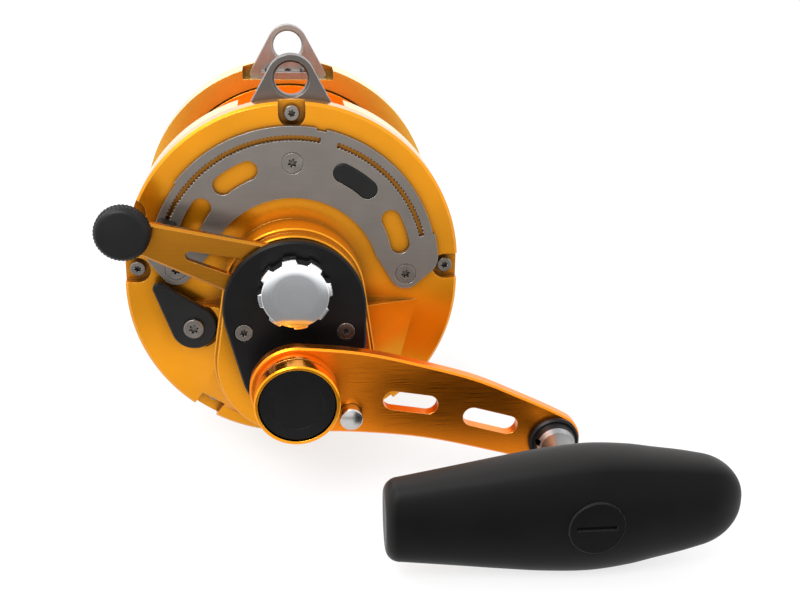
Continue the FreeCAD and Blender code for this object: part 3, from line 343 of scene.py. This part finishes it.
def moulded(name, low, high):
    """Plain moulded plastic or pressed fibre, clouded between two colours."""
    s = Surface(name, 0.0)
    cloud = s.noise(s.place, 3 * MM, detail=3.0)
    s.set("Base Color", s.blend(s.span(cloud, 0.0, 1.0), low, high))
    s.set("Roughness", s.span(cloud, 0.4, 0.6))
    s.set("Normal", s.relief(cloud, 0.01 * MM))
    return s.material


def paint(material, *names):
    """Gives the named CAD nodes one material."""
    for name in names:
        slots = nodes[name].data.materials
        slots.clear()
        slots.append(material)


# ------------------------------------------------------------------ meshes
def finish_piece(name, mesh, body, material, stands_for, crease=40.0):
    """Puts a new mesh into the scene in place of its CAD node, and on its body."""
    bmesh.ops.recalc_face_normals(mesh, faces=mesh.faces)
    data = bpy.data.meshes.new(name)
    mesh.to_mesh(data)
    mesh.free()
    data.materials.append(material)
    data.shade_smooth()
    data.set_sharp_from_angle(angle=math.radians(crease))
    piece = bpy.data.objects.new(name, data)
    bpy.context.scene.collection.objects.link(piece)
    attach(piece, body)
    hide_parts(stands_for)
    return piece


def rings_to_mesh(rings):
    """Skin over closed rings of points, all of the same count, with a fan over each end."""
    mesh = bmesh.new()
    made = [[mesh.verts.new(p) for p in ring] for ring in rings]
    count = len(rings[0])
    for a, b in zip(made, made[1:]):
        for i in range(count):
            j = (i + 1) % count
            mesh.faces.new((a[i], a[j], b[j], b[i]))
    for ring in (made[0], made[-1]):
        hub = mesh.verts.new(sum((v.co for v in ring), Vector()) / count)
        for i in range(count):
            mesh.faces.new((ring[i], ring[(i + 1) % count], hub))
    return mesh


def turned(profile, centre, count, bulge=None):
    """Body of revolution about Y. profile lists (y, radius); bulge may change each point's radius."""
    rings = []
    for y, radius in profile:
        ring = []
        for i in range(count):
            angle = 2 * math.pi * i / count
            r = bulge(angle, y, radius) if bulge else radius
            ring.append(Vector((centre.x + r * math.cos(angle), y, centre.z + r * math.sin(angle))))
        rings.append(ring)
    return rings_to_mesh(rings)


def arc_profile(y, radius, edge):
    """Quarter round of size edge from a face at y to a rim of the given radius."""
    steps = 8
    points = []
    for i in range(steps + 1):
        a = 0.5 * math.pi * i / steps
        points.append((y + edge * (1 - math.cos(a)), radius - edge + edge * math.sin(a)))
    return points


def make_lever_knob(material):
    """Round knob with a softly domed face and a diamond knurl round its rim."""
    low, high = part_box("lever_knob")
    front, back = low.y, high.y
    radius = (high.x - low.x) / 2
    knurl_from, knurl_to = front + 2.3 * MM, back - 0.7 * MM
    rows, teeth, depth = 14, 44, 0.34 * MM
    turn = 4.5
    profile = [(front + 0.02 * MM, 0.5 * MM), (front + 0.05 * MM, 3 * MM), (front + 0.2 * MM, 6.2 * MM)]
    profile += [(y + 0.25 * MM, r) for y, r in arc_profile(front, radius - 0.5 * MM, 1.9 * MM)]
    for i in range(rows + 1):
        profile.append((knurl_from + (knurl_to - knurl_from) * i / rows, radius))
    profile += [(back - 0.3 * MM, radius - 0.5 * MM), (back, radius - 1.0 * MM), (back, 3 * MM)]

    def bulge(angle, y, r):
        """Cuts two crossing sets of grooves, each of which crosses turn teeth along the rim."""
        if not knurl_from - 1e-6 < y < knurl_to + 1e-6:
            return r
        along = (y - knurl_from) / (knurl_to - knurl_from) * turn
        around = angle * teeth / (2 * math.pi)
        a = abs((around + along) % 1.0 - 0.5)
        b = abs((around - along) % 1.0 - 0.5)
        return r - depth * (1 - min(a, b) * 2)

    mesh = turned(profile, LEVER_KNOB, 8 * teeth, bulge)
    finish_piece("lever_knob_detailed", mesh, "lever", material, "lever_knob", 60.0)


def make_preset_knob(material):
    """Chrome knob with eight lobes, each finely knurled on its rim, and flutes between them."""
    low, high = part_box("preset_knob")
    front = low.y
    back = front + 6.8 * MM
    neck_end = high.y
    rim = 13.95 * MM
    face = 12.55 * MM
    lobes, first = 8, math.radians(9)
    lobe_half = math.radians(9.5)
    flank = math.radians(5.0)
    ridge_pitch = math.radians(2.4)
    ridge_depth = 0.3 * MM
    flute_r = 12.35 * MM
    neck_r = 9.2 * MM
    bore_r = 4.2 * MM
    shoulder = front + 0.9 * MM
    profile = [(front, 0.5 * MM), (front, 4 * MM), (front, 8 * MM), (front, face - 0.45 * MM)]
    profile += [(front + 0.05 * MM, face - 0.15 * MM), (front + 0.2 * MM, face), (shoulder, face)]
    profile += [(shoulder + 0.02 * MM, face + 0.25 * MM), (shoulder + 0.15 * MM, rim - 0.3 * MM)]
    for i in range(6):
        profile.append((shoulder + 0.5 * MM + (back - shoulder - 1.0 * MM) * i / 5, rim))
    profile += [(back - 0.15 * MM, rim - 0.3 * MM), (back, rim - 0.7 * MM), (back, 9.4 * MM)]
    profile += [(back + 0.3 * MM, neck_r), (neck_end, neck_r), (neck_end, bore_r)]

    def bulge(angle, y, r):
        """Flattens the rim into flutes between the lobes, and ridges the lobes."""
        if r < face + 0.01 * MM:
            return r
        spacing = 2 * math.pi / lobes
        off = abs((angle - first + spacing / 2) % spacing - spacing / 2)
        fall = min(max((off - lobe_half) / flank, 0.0), 1.0)
        fall = fall * fall * (3 - 2 * fall)
        lobe_r = r
        if r > rim - 0.1 * MM and off < lobe_half:
            lobe_r = r - ridge_depth * (0.5 - 0.5 * math.cos(off * 2 * math.pi / ridge_pitch))
        return lobe_r + (flute_r - lobe_r) * fall

    mesh = turned(profile, SPOOL, 960, bulge)
    finish_piece("preset_knob_detailed", mesh, "preset", material, "preset_knob", 30.0)


def make_release_pin(material):
    """Polished pin with a gently crowned end."""
    low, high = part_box("release_pin")
    radius = (high.x - low.x) / 2
    crown = 0.35 * MM
    edge = 0.7 * MM
    bevel = 0.3 * MM
    profile = [(low.y + crown * (k / 6) ** 2, (radius - edge) * max(k, 0.4) / 6) for k in range(7)]
    profile += [(y + crown, r) for y, r in arc_profile(low.y, radius, edge)[1:]]
    profile += [(low.y + 2 * MM, radius), (high.y - bevel, radius), (high.y, radius - bevel)]
    mesh = turned(profile, PIN, 96)
    finish_piece("release_pin_detailed", mesh, "release", material, "release_pin", 50.0)


# the grip in mm: half its height at each distance along it from the post, then its ends
GRIP_STATIONS = [
    (-66.0, 15.6), (-54.0, 17.3), (-43.0, 18.9), (-30.0, 20.8), (-16.0, 22.6), (0.0, 23.6),
    (14.0, 22.5), (24.0, 20.7), (34.0, 18.9), (41.0, 17.3),
]
GRIP_LEFT_END = -71.4
GRIP_LEFT_HALF = 10.4
GRIP_RIGHT_END = 55.8
GRIP_TILT = math.radians(1.9)


def grip_half_height(u):
    """Half its height at the distance u: a cubic curve through the stations."""
    for i in range(len(GRIP_STATIONS) - 1):
        (u0, h0), (u1, h1) = GRIP_STATIONS[i], GRIP_STATIONS[i + 1]
        if u <= u1:
            before = GRIP_STATIONS[max(i - 1, 0)]
            after = GRIP_STATIONS[min(i + 2, len(GRIP_STATIONS) - 1)]
            slope0 = (h1 - before[1]) / (u1 - before[0])
            slope1 = (after[1] - h0) / (after[0] - u0)
            t = (u - u0) / (u1 - u0)
            gap = u1 - u0
            return (
                (2 * t**3 - 3 * t**2 + 1) * h0
                + (t**3 - 2 * t**2 + t) * slope0 * gap
                + (3 * t**2 - 2 * t**3) * h1
                + (t**3 - t**2) * slope1 * gap
            )
    return GRIP_STATIONS[-1][1]


def grip_ring(u, height, depth, count):
    """One section of the grip: a slightly squared oval, tilted with the grip."""
    squareness = 2.35
    low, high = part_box("grip")
    mid_y = (low.y + high.y) / 2
    points = []
    for i in range(count):
        a = 2 * math.pi * i / count
        c, s = math.cos(a), math.sin(a)
        y = depth * math.copysign(abs(c) ** (2 / squareness), c)
        z = height * math.copysign(abs(s) ** (2 / squareness), s)
        x = u * math.cos(GRIP_TILT) - z * math.sin(GRIP_TILT)
        z = u * math.sin(GRIP_TILT) + z * math.cos(GRIP_TILT)
        points.append(Vector((GRIP_POST.x + x * MM, mid_y + y * MM, GRIP_POST.z + z * MM)))
    return points


def make_grip(material):
    """T-bar grip: an oval bar, blunt at the left, domed at the right, bored for its cap and post."""
    flatness = 0.6
    count = 96
    steps = 54
    dome_power = 2.3
    stations = []
    first_u, first_h = GRIP_STATIONS[0]
    last_u, last_h = GRIP_STATIONS[-1]
    for k in range(5):
        stations.append((GRIP_LEFT_END + 0.25 - 0.05 * k, GRIP_LEFT_HALF * (0.15 + 0.85 * k / 4)))
    for k in range(1, 9):
        a = 0.5 * math.pi * k / 8
        u = GRIP_LEFT_END + (first_u - GRIP_LEFT_END) * (1 - math.cos(a))
        stations.append((u, GRIP_LEFT_HALF + (first_h - GRIP_LEFT_HALF) * math.sin(a)))
    for k in range(1, steps + 1):
        u = first_u + (last_u - first_u) * k / steps
        stations.append((u, grip_half_height(u)))
    before_u = last_u - 2.0
    slope = (last_h - grip_half_height(before_u)) / (last_u - before_u)
    dome = GRIP_RIGHT_END - last_u
    for k in range(1, 24):
        t = math.sin(0.5 * math.pi * k / 24)
        roundness = (1 - t**dome_power) ** (1 / dome_power)
        stations.append((last_u + dome * t, (last_h + slope * dome * t) * roundness))
    mesh = rings_to_mesh([grip_ring(u, h, h * flatness, count) for u, h in stations])
    piece = finish_piece("grip_detailed", mesh, "grip", material, "grip", 75.0)
    low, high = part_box("grip_cap")
    cap_r = (high.x - low.x) / 2 + 0.2 * MM
    post_r = 7.3 * MM
    past = 20 * MM
    bore(piece, GRIP_POST, cap_r, low.y - past, high.y + 0.1 * MM)
    bore(piece, GRIP_POST, post_r, high.y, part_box("grip")[1].y + past)


def bore(piece, centre, radius, y0, y1):
    """Cuts a round hole along Y from y0 to y1 through the piece's mesh."""
    tool_mesh = turned([(y0, radius), (y1, radius)], centre, 96)
    bmesh.ops.recalc_face_normals(tool_mesh, faces=tool_mesh.faces)
    data = bpy.data.meshes.new("bore")
    tool_mesh.to_mesh(data)
    tool_mesh.free()
    tool = bpy.data.objects.new("bore", data)
    bpy.context.scene.collection.objects.link(tool)
    cut = piece.modifiers.new("bore", "BOOLEAN")
    cut.operation = "DIFFERENCE"
    cut.solver = "EXACT"
    cut.object = tool
    bpy.context.view_layer.update()
    evaluated = piece.evaluated_get(bpy.context.evaluated_depsgraph_get())
    result = bpy.data.meshes.new_from_object(evaluated)
    piece.modifiers.clear()
    piece.data = result
    bpy.data.objects.remove(tool)
    result.shade_smooth()
    result.set_sharp_from_angle(angle=math.radians(40))


# ------------------------------------------------------------------ materials on pieces
plate_gold = gold(
    "gold_plate", "turned", SPOOL, base=(0.7, 0.265, 0.004), metallic=0.85, roughness=(0.24, 0.27),
    relief=0.00006, shadow=0.85, coat=0.35,
)
# Painted light: a paler, yellower copy of the plate gold for the far-side frame and plate.
rear_gold_painted_light = gold(
    "gold_rear_painted_light", "turned", SPOOL, base=(0.76, 0.42, 0.055), metallic=0.85, roughness=(0.24, 0.27),
    relief=0.00006, shadow=0.7, coat=0.6,
)
spool_gold = gold("gold_turned", "turned", SPOOL, metallic=0.85, roughness=(0.22, 0.3))
crank_gold = gold("gold_turned_hub", "turned", CRANK, roughness=(0.16, 0.22), fan=0.0, shadow=0.7)
milled_gold = gold("gold_milled", "milled", roughness=(0.2, 0.3))
# Painted shade: a darker copy of the gold, standing in for the dark reflection on the lever.
lever_gold_painted_shade = gold("gold_lever_painted_shade", "brushed", base=(0.44, 0.17, 0.014), relief=0.0005)
brushed_gold = gold(
    "gold_brushed", "brushed", base=(0.9, 0.245, 0.012), roughness=(0.26, 0.36), relief=0.0007
)
satin_grey = grey_plate("grey_satin", (40.0, 1.0, 1.0), base=(0.185, 0.165, 0.148), metallic=0.85)
# Painted shade on the near lug and painted light on the far lug: one grey at two brightnesses.
lug_grey_painted_shade = grey_plate("grey_lug_painted_shade", (1.0, 1.0, 30.0), base=(0.12, 0.105, 0.097))
rear_lug_grey_painted_light = grey_plate("grey_rear_lug_painted_light", (1.0, 1.0, 30.0), base=(0.34, 0.31, 0.29))
flange_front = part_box("grip_post")[1].y - 9.5 * MM
post_grey = grey_plate(
    "grey_post", (1.0, 20.0, 1.0), base=(0.24, 0.24, 0.245), roughness=(0.35, 0.5),
    black_behind=flange_front,
)
black = black_metal("black_anodised", base=(0.0026, 0.0025, 0.0026), specular=0.16)
click_black = black_metal("black_click", base=(0.0052, 0.0049, 0.0048), specular=0.24)
button_black = black_metal("black_button", base=(0.0024, 0.0024, 0.0025), specular=0.15)
knob_black = black_metal(
    "black_plastic", base=(0.0045, 0.0045, 0.0045), specular=0.2, roughness=(0.38, 0.5)
)
rubber = grip_rubber("rubber")
bright = chrome("chrome_knob", SPOOL, base=(0.77, 0.79, 0.81))
bright_pin = chrome("chrome_pin", PIN, base=(0.52, 0.51, 0.5), roughness=(0.18, 0.24))
stainless = steel("stainless", base=(0.2, 0.18, 0.163))
hard_steel = steel("hardened_steel", base=(0.4, 0.39, 0.38), roughness=(0.25, 0.4))
bronze = steel("gear_bronze", base=(0.5, 0.36, 0.2), roughness=(0.25, 0.4))
bush = moulded("bush", (0.55, 0.54, 0.5, 1.0), (0.68, 0.67, 0.62, 1.0))
lining = moulded("lining", (0.02, 0.02, 0.02, 1.0), (0.06, 0.06, 0.06, 1.0))

paint(plate_gold, "handle_side_plate")
paint(rear_gold_painted_light, "frame", "left_side_plate", "left_plate_cap")
paint(spool_gold, "spool")
paint(crank_gold, "hub_cup")
paint(milled_gold, "lever_knob_collar")
paint(brushed_gold, "crank_arm")
paint(lever_gold_painted_shade, "drag_lever")
paint(satin_grey, "quadrant")
paint(lug_grey_painted_shade, "handle_side_lug", "crank_spacer")
paint(rear_lug_grey_painted_light, "left_side_lug")
paint(post_grey, "grip_post")
paint(black, "gear_cover", "bridge_plate")
paint(click_black, "click_lever", "strike_button")
paint(button_black, "shift_button")
paint(knob_black, "detent_shoe")
paint(rubber, "grip_cap")
paint(stainless, "rim_screws", "left_rim_screws", "left_cap_screws", "lug_screws")
paint(stainless, "quadrant_screws", "cover_screws", "bridge_screws", "dog_screws", "lever_knob_screw")
paint(stainless, "click_screw", "spool_shaft", "handle_nut")
paint(hard_steel, "crank_shaft", "shift_rod_and_key", "shift_spring", "click_shaft", "drag_springs")
paint(hard_steel, "ratchet", "left_dog", "right_dog", "click_gear", "drag_cam", "fixed_cam")
paint(hard_steel, "drag_rotor", "pinion", "pinion_front_bearing", "pinion_rear_bearing")
paint(hard_steel, "crank_front_bearing", "crank_rear_bearing", "spool_bearing_near", "spool_bearing_far")
paint(bronze, "high_gear", "low_gear")
paint(bush, "grip_bushes")
paint(lining, "friction_washer")

make_lever_knob(knob_black)
make_preset_knob(bright)
make_release_pin(bright_pin)
make_grip(rubber)


# ------------------------------------------------------------------ floor, light, camera
def make_floor():
    """Plain pale sheet just under the object's lowest point, with its front edge ahead of the grip."""
    half = 4.0
    front = -0.187
    glow = 0.74
    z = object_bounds()[0].z - 0.5 * MM
    mesh = bmesh.new()
    corners = [(-half, front), (half, front), (half, half), (-half, half)]
    mesh.faces.new([mesh.verts.new((x, y, z)) for x, y in corners])
    data = bpy.data.meshes.new("floor")
    mesh.to_mesh(data)
    mesh.free()
    surface = Surface("floor_paint", 0.0, 0.2)
    cloud = surface.noise(surface.place, 0.4, detail=2.0)
    tint = surface.blend(cloud, (0.16, 0.16, 0.16, 1.0), (0.18, 0.18, 0.18, 1.0))
    surface.set("Base Color", tint)
    surface.set("Roughness", 0.8)
    surface.set("Emission Color", (1.0, 1.0, 1.0, 1.0))
    surface.set("Emission Strength", glow)
    data.materials.append(surface.material)
    floor = bpy.data.objects.new("floor", data)
    bpy.context.scene.collection.objects.link(floor)


def area_light(name, place, aim, size, power):
    """White light from a square of the given size, turned to face aim."""
    data = bpy.data.lights.new(name, "AREA")
    data.shape = "SQUARE"
    data.size = size
    data.energy = power
    lamp = bpy.data.objects.new(name, data)
    lamp.location = place
    lamp.rotation_mode = "QUATERNION"
    lamp.rotation_quaternion = (Vector(aim) - Vector(place)).to_track_quat("-Z", "Y")
    bpy.context.scene.collection.objects.link(lamp)


def make_world(bright, dim):
    """Even white studio, dim where it is seen steeply below the horizon."""
    dim_below = -0.335
    bright_above = -0.275
    world = bpy.data.worlds.new("studio")
    world.use_nodes = True
    tree = world.node_tree
    direction = tree.nodes.new("ShaderNodeTexCoord")
    split = tree.nodes.new("ShaderNodeSeparateXYZ")
    tree.links.new(direction.outputs["Generated"], split.inputs[0])
    level = tree.nodes.new("ShaderNodeMapRange")
    tree.links.new(split.outputs["Z"], level.inputs["Value"])
    level.inputs["From Min"].default_value = dim_below
    level.inputs["From Max"].default_value = bright_above
    level.inputs["To Min"].default_value = dim
    level.inputs["To Max"].default_value = bright
    background = tree.nodes["Background"]
    background.inputs["Color"].default_value = (1.0, 1.0, 1.0, 1.0)
    tree.links.new(level.outputs["Result"], background.inputs["Strength"])
    bpy.context.scene.world = world


def make_camera():
    """Camera in front of the handle side and above it, turned to +X and looking down."""
    place = Vector((-0.0067, -0.47015, 0.2222))
    yaw, pitch, roll = math.radians(6.83), math.radians(21.07), math.radians(-1.45)
    ahead = math.cos(pitch)
    forward = Vector((math.sin(yaw) * ahead, math.cos(yaw) * ahead, -math.sin(pitch)))
    level = Vector((math.cos(yaw), -math.sin(yaw), 0.0))
    down = forward.cross(level)
    right = math.cos(roll) * level + math.sin(roll) * down
    up = math.sin(roll) * level - math.cos(roll) * down
    data = bpy.data.cameras.new("camera")
    data.sensor_width = 36.0
    data.lens = 49.5
    data.clip_start = 0.01
    data.clip_end = 20.0
    camera = bpy.data.objects.new("camera", data)
    turn = Matrix((right, up, -forward)).transposed()
    camera.matrix_world = Matrix.Translation(place) @ turn.to_4x4()
    bpy.context.scene.collection.objects.link(camera)
    bpy.context.scene.camera = camera


make_floor()
make_world(bright=1.38, dim=0.3)
area_light("front", (-0.45, -0.85, 1.05), aim=(0.0, 0.0, 0.08), size=0.7, power=16.0)
area_light("over_left", (-0.9, 0.3, 1.2), aim=(0.0, 0.0, 0.05), size=1.2, power=12.0)
area_light("over_right", (1.1, 0.4, 1.0), aim=(0.0, 0.0, 0.05), size=0.9, power=3.0)
make_camera()
bpy.context.scene.view_settings.view_transform = "Standard"
